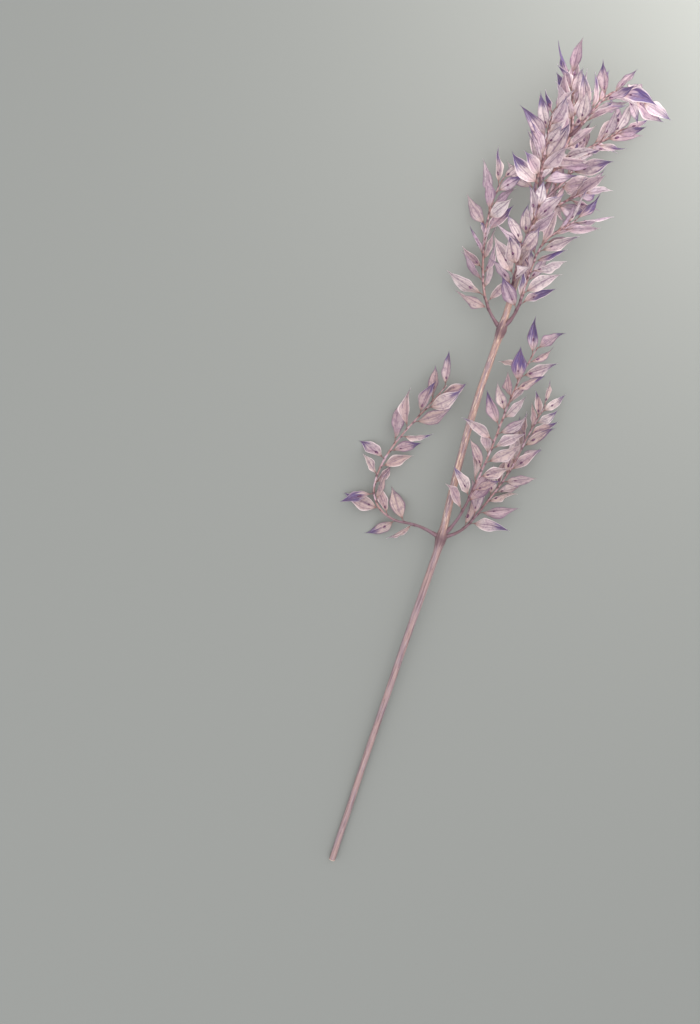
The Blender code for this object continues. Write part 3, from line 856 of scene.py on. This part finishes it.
def node(tree, kind, values=(), **settings):
    """A shader node. Values are (socket, value or another node's output)."""
    made = tree.nodes.new(kind)
    for key, value in settings.items():
        setattr(made, key, value)
    for socket, value in values:
        if isinstance(value, bpy.types.NodeSocket):
            tree.links.new(value, made.inputs[socket])
        else:
            made.inputs[socket].default_value = value
    return made


def attribute(tree, name):
    """The three parts of a point attribute, and the attribute itself."""
    read = node(tree, "ShaderNodeAttribute", attribute_name=name)
    parts = node(tree, "ShaderNodeSeparateXYZ", [(0, read.outputs["Vector"])])
    return [*parts.outputs, read.outputs["Vector"]]


def math_of(tree, operation, *values):
    return node(tree, "ShaderNodeMath", enumerate(values), operation=operation).outputs[0]


def times(tree, value, factor):
    return math_of(tree, "MULTIPLY", value, factor)


def add(tree, value, more):
    return math_of(tree, "ADD", value, more)


def step(tree, value, low, high):
    """0 under low, 1 over high, and smooth between."""
    return node(tree, "ShaderNodeMapRange", [(0, value), (1, low), (2, high)],
                interpolation_type="SMOOTHSTEP").outputs[0]


def noise(tree, vector, scale, stretch=(1, 1, 1), detail=3.0):
    placed = node(tree, "ShaderNodeMapping", [(0, vector), (3, stretch)])
    return node(tree, "ShaderNodeTexNoise",
                [("Vector", placed.outputs[0]), ("Scale", scale), ("Detail", detail)]).outputs[0]


def tinted(tree, share_of, first, second):
    """Colour between two colours."""
    first = (*first, 1.0) if not isinstance(first, bpy.types.NodeSocket) else first
    second = (*second, 1.0) if not isinstance(second, bpy.types.NodeSocket) else second
    return node(tree, "ShaderNodeMix", [(0, share_of), (6, first), (7, second)],
                data_type="RGBA").outputs[2]


def tinge(tree, shade, colour_of, value, low, high, most=1.0):
    """A shade turned towards a colour, by up to most, as a value goes from low to high."""
    return tinted(tree, times(tree, step(tree, value, low, high), most), shade, colour_of)


def coated(tree, shade, coats):
    """A shade under coats, each a colour, value, low, high and perhaps most, as tinge has them."""
    for coat in coats:
        shade = tinge(tree, shade, *coat)
    return shade


def finish(name, roughness, specular=0.4, sheen=0.0):
    """A new material, its tree and its surface shader."""
    made = bpy.data.materials.new(name)
    made.use_nodes = True
    tree = made.node_tree
    shader = tree.nodes["Principled BSDF"]
    shader.inputs["Roughness"].default_value = roughness
    shader.inputs["Specular IOR Level"].default_value = specular
    shader.inputs["Sheen Weight"].default_value = sheen
    return made, tree, shader


def dress(tree, shader, shade, height, strength, distance):
    """Give a surface its shade and bump it by a height. Returns the bumped normal."""
    tree.links.new(shade, shader.inputs["Base Color"])
    made = node(tree, "ShaderNodeBump",
                [("Strength", strength), ("Distance", distance), ("Height", height)])
    tree.links.new(made.outputs[0], shader.inputs["Normal"])
    return made.outputs[0]


def blade_finish(looks):
    """Papery dyed blade.

    Two dyes in clouds, each blade a little more mauve or more tan, and the lower shoots' more tan;
    violet gathered in the tip; veins and pale threads that run along the blade, and blotches; a
    dark midrib, a rim that is a dark margin on some blades and a painted highlight, a pale line
    along the edge, on the others; a tan foot and a brown petiole.
    """
    made, tree, shader = finish("papery_blade", 0.5, 0.4, 0.1)
    u, v, number, place = attribute(tree, "place")
    tint, violet, edging, _ = attribute(tree, "dye")
    body = node(tree, "ShaderNodeTexCoord").outputs["Object"]
    clouds = noise(tree, body, 110)
    veins = noise(tree, place, 1.0, (1.9, 4.4, 3.1), 5)
    threads = noise(tree, place, 1.0, (2.6, 11, 5.3), 3)
    blotches = noise(tree, body, 420, detail=2)
    _, forward, _ = node(tree, "ShaderNodeSeparateXYZ", [(0, body)]).outputs
    across = math_of(tree, "ABSOLUTE", v)
    dyed = add(tree, times(tree, tint, 0.6), clouds)
    low = times(tree, step(tree, forward, 0.24, 0.10), 0.3)
    warm = add(tree, times(tree, math_of(tree, "FRACT", number), 0.42), low)
    drift = add(tree, u, times(tree, add(tree, veins, -0.5), 0.85))
    drift = add(tree, drift, times(tree, across, 0.07))
    reach = math_of(tree, "SUBTRACT", 0.93, times(tree, violet, 0.50))
    most = math_of(tree, "MINIMUM", 0.88, times(tree, violet, 2.4))
    # the rim's colour: a painted highlight, pale, on blades with little edging, and a dark margin
    # on the rest
    rim_highlight_and_margin = tinge(tree, looks.pale_line_and_rim_highlight, looks.blade_edge, edging, 0.12, 0.35)
    off_foot = times(tree, step(tree, u, 0.12, 0.25), 0.75)
    shade = tinge(tree, looks.blade_pale, looks.blade_mauve, dyed, 0.45, 1.08)
    shade = coated(tree, tinted(tree, warm, shade, looks.blade_tan), [
        (looks.blade_tip, drift, reach, add(tree, reach, 0.20), most),
        (looks.blade_edge, veins, 0.50, 0.62, 0.48),
        (looks.pale_line_and_rim_highlight, threads, 0.50, 0.66, 0.32),
        (looks.blade_edge, blotches, 0.50, 0.66, 0.40),
        (looks.blade_edge, across, 0.13, 0.04, 0.5),
        # painted highlight: the pale rim near a blade's edge; where edging is high the rim is a
        # dark margin instead
        (rim_highlight_and_margin, across, 0.78, 0.92, off_foot),
        (looks.blade_tan, u, 0.36, 0.14, 0.55),
        (looks.petiole, u, 0.20, 0.13),
    ])
    height = add(tree, veins, times(tree, threads, 0.6))
    bumped = dress(tree, shader, shade, height, 0.9, 0.9 * MM)
    through = node(tree, "ShaderNodeBsdfTranslucent", [("Color", shade), ("Normal", bumped)])
    both = node(tree, "ShaderNodeMixShader",
                [(0, looks.glow), (1, shader.outputs[0]), (2, through.outputs[0])])
    tree.links.new(both.outputs[0], tree.nodes["Material Output"].inputs["Surface"])
    return made


def twig_finish(looks):
    """Dyed twig: streaks that run along it, darker in its furrows, at its nodes and at its base."""
    made, tree, shader = finish("dyed_twig", 0.5, 0.4)
    *_, bark = attribute(tree, "bark")
    knot, base, _, _ = attribute(tree, "knot")
    body = node(tree, "ShaderNodeTexCoord").outputs["Object"]
    streaks = noise(tree, bark, 1.0, (2.2, 2.2, 90), 4)
    patches = noise(tree, body, 150, detail=2)
    scales = add(tree, knot, times(tree, streaks, 0.5))
    shade = coated(tree, looks.twig, [
        (looks.blade_mauve, patches, 0.40, 0.75, 0.5),
        (looks.pale_line_and_rim_highlight, streaks, 0.44, 0.30, 0.25),
        (looks.twig_base, base, 0.0, 0.5, 0.8),
        (looks.twig_dark, streaks, 0.50, 0.68, 0.6),
        (looks.twig_dark, scales, 0.45, 0.85, 0.85),
    ])
    dress(tree, shader, shade, streaks, 0.7, 0.35 * MM)
    return made


def stalk_finish(looks):
    """Dyed stalk: mauve and tan, flecked and more tan above the lowest whorl, dark at whorls."""
    made, tree, shader = finish("dyed_stalk", 0.6, 0.3)
    _, _, distance, bark = attribute(tree, "bark")
    streaks = noise(tree, bark, 1.0, (2.4, 2.4, 46), 5)
    fibres = noise(tree, bark, 1.0, (5, 5, 110), 3)
    patches = noise(tree, bark, 1.0, (1.1, 1.1, 42), 4)
    flecks = noise(tree, bark, 1.0, (3.1, 3.1, 160), 2)
    upper = step(tree, distance, WHORL_1 - 0.006, WHORL_1 + 0.02)
    most = add(tree, times(tree, upper, 0.5), 0.45)
    uneven = times(tree, add(tree, streaks, -0.5), 0.03)
    offs = [math_of(tree, "ABSOLUTE", add(tree, distance, -whorl)) for whorl in WHORLS]
    shade = coated(tree, looks.stalk_mauve, [
        (looks.stalk_tan, patches, 0.38, 0.60, most),
        (looks.pale_line_and_rim_highlight, fibres, 0.50, 0.70, 0.1),
        (looks.stalk_dark, streaks, 0.50, 0.70, 0.62),
        (looks.pith, flecks, 0.56, 0.64, times(tree, upper, 0.4)),
        (looks.stalk_dark, flecks, 0.36, 0.29, 0.6),
        *[(looks.stalk_dark, add(tree, off, uneven), 0.011, 0.001, 0.9) for off in offs],
        (looks.pith, distance, 0.0004, 0.0),
    ])
    dress(tree, shader, shade, add(tree, streaks, fibres), 0.6, 0.4 * MM)
    return made


def bud_finish(looks):
    """Dark, dull plum with a paler grain."""
    made, tree, shader = finish("plum_bud", 0.6, 0.3)
    body = node(tree, "ShaderNodeTexCoord").outputs["Object"]
    grain = noise(tree, body, 900)
    shade = tinge(tree, looks.bud, looks.bud_pale, grain, 0.35, 0.7)
    dress(tree, shader, shade, grain, 0.5, 0.2 * MM)
    return made


class RUSCUS_OT_stalk(bpy.types.Operator):
    """Make the fine stalk"""
    bl_idname = "ruscus.stalk"
    bl_label = "Make the stalk"

    def execute(self, context):
        rings, place = stalk_rings(context.scene.ruscus_sizes)
        finishes = [stalk_finish(context.scene.ruscus_finish)]
        piece = add_piece("bark_stalk", rings, {"bark": place}, finishes, crease=40)
        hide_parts("stalk")
        return {"FINISHED"}


class RUSCUS_OT_twigs(bpy.types.Operator):
    """Make every shoot's twig"""
    bl_idname = "ruscus.twigs"
    bl_label = "Make the twigs"

    def execute(self, context):
        finishes = [twig_finish(context.scene.ruscus_finish)]
        for name in SHOOTS:
            rings, place, knot = twig_rings(name, context.scene.ruscus_sizes)
            piece = add_piece(f"twig_{name}", rings, {"bark": place, "knot": knot}, finishes)
            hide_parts(name)
        return {"FINISHED"}


class RUSCUS_OT_blades(bpy.types.Operator):
    """Make every shoot's papery blades"""
    bl_idname = "ruscus.blades"
    bl_label = "Make the blades"

    def execute(self, context):
        finishes = [blade_finish(context.scene.ruscus_finish)]
        for name, leaves in growth()[1].items():
            rings, place, dye = blade_rings(leaves, context.scene.ruscus_sizes)
            piece = add_piece(f"blades_{name}", rings, {"place": place, "dye": dye}, finishes)
            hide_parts(name)
        return {"FINISHED"}


class RUSCUS_OT_buds(bpy.types.Operator):
    """Make the plum buds on the blades' midribs"""
    bl_idname = "ruscus.buds"
    bl_label = "Make the buds"

    def execute(self, context):
        finishes = [bud_finish(context.scene.ruscus_finish)]
        for name, leaves in growth()[1].items():
            budding = [leaf for leaf in leaves if leaf["bud"] or leaf["small_bud"]]
            rings = bud_rings(budding, context.scene.ruscus_sizes)
            piece = add_piece(f"buds_{name}", rings, {}, finishes)
        return {"FINISHED"}


def add_camera():
    """The camera over the stem: it leans with the stem and tilts a little off straight down."""
    data = bpy.data.cameras.new("camera")
    data.sensor_fit = "VERTICAL"
    data.lens = data.sensor_height * FOCAL_PIXELS / IMAGE_HEIGHT
    data.clip_start = 0.01
    camera = put("camera", data)
    turned = Matrix.Rotation(CAMERA_LEAN, 4, "Z") @ Matrix.Rotation(-CAMERA_TILT, 4, "X")
    camera.matrix_world = Matrix.Translation(CAMERA_PLACE) @ turned
    bpy.context.scene.camera = camera


def add_light(name, place, aim, size, power, tone, shadow):
    """A square soft light at a place, turned to what it lights."""
    data = bpy.data.lights.new(name, "AREA")
    data.size = size
    data.energy = power
    data.color = tone
    data.use_shadow = shadow
    light = put(name, data)
    turned = (Vector(aim) - Vector(place)).to_track_quat("-Z", "Y").to_matrix().to_4x4()
    light.matrix_world = Matrix.Translation(place) @ turned
    light.visible_camera = False


class RUSCUS_OT_stage(bpy.types.Operator):
    """Make the pale floor, the soft light and the camera"""
    bl_idname = "ruscus.stage"
    bl_label = "Make the stage"

    def execute(self, context):
        scene = context.scene
        mesh = bpy.data.meshes.new("floor")
        corners = [(-FLOOR_HALF, -FLOOR_HALF), (FLOOR_HALF, -FLOOR_HALF),
                   (FLOOR_HALF, FLOOR_HALF), (-FLOOR_HALF, FLOOR_HALF)]
        mesh.from_pydata([(*corner, FLOOR_HEIGHT) for corner in corners], [], [(0, 1, 2, 3)])
        made, _, shader = finish("pale_floor", 0.9, 0.2)
        shader.inputs["Base Color"].default_value = (*scene.ruscus_finish.floor, 1.0)
        mesh.materials.append(made)
        floor = put("floor", mesh)
        world = bpy.data.worlds.new("pale_room")
        world.use_nodes = True
        sky = world.node_tree.nodes["Background"]
        sky.inputs["Color"].default_value = SKY_TONE
        sky.inputs["Strength"].default_value = SKY_STRENGTH
        scene.world = world
        for light in LIGHTS:
            add_light(*light)
        scene.view_settings.view_transform = "Standard"
        add_camera()
        return {"FINISHED"}


class RUSCUS_PT_panel(bpy.types.Panel):
    """Sizes, colours and steps of the ruscus stem"""
    bl_idname = "RUSCUS_PT_panel"
    bl_label = "Ruscus stem"
    bl_space_type = "VIEW_3D"
    bl_region_type = "UI"
    bl_category = "Ruscus"

    def draw(self, context):
        for group in (context.scene.ruscus_sizes, context.scene.ruscus_finish):
            box = self.layout.box()
            for key in group.bl_rna.properties.keys():
                if key not in ("rna_type", "name"):
                    box.prop(group, key)
        for step_class in STEPS:
            self.layout.operator(step_class.bl_idname)


STEPS = (RUSCUS_OT_stalk, RUSCUS_OT_twigs, RUSCUS_OT_blades, RUSCUS_OT_buds, RUSCUS_OT_stage)
CLASSES = (RuscusSizes, RuscusFinish, *STEPS, RUSCUS_PT_panel)


def register():
    for made in CLASSES:
        bpy.utils.register_class(made)
    bpy.types.Scene.ruscus_sizes = bpy.props.PointerProperty(type=RuscusSizes)
    bpy.types.Scene.ruscus_finish = bpy.props.PointerProperty(type=RuscusFinish)


def unregister():
    del bpy.types.Scene.ruscus_sizes, bpy.types.Scene.ruscus_finish
    for made in reversed(CLASSES):
        bpy.utils.unregister_class(made)


def main():
    register()
    bpy.ops.ruscus.stalk()
    bpy.ops.ruscus.twigs()
    bpy.ops.ruscus.blades()
    bpy.ops.ruscus.buds()
    bpy.ops.ruscus.stage()


if __name__ == "__main__":
    main()
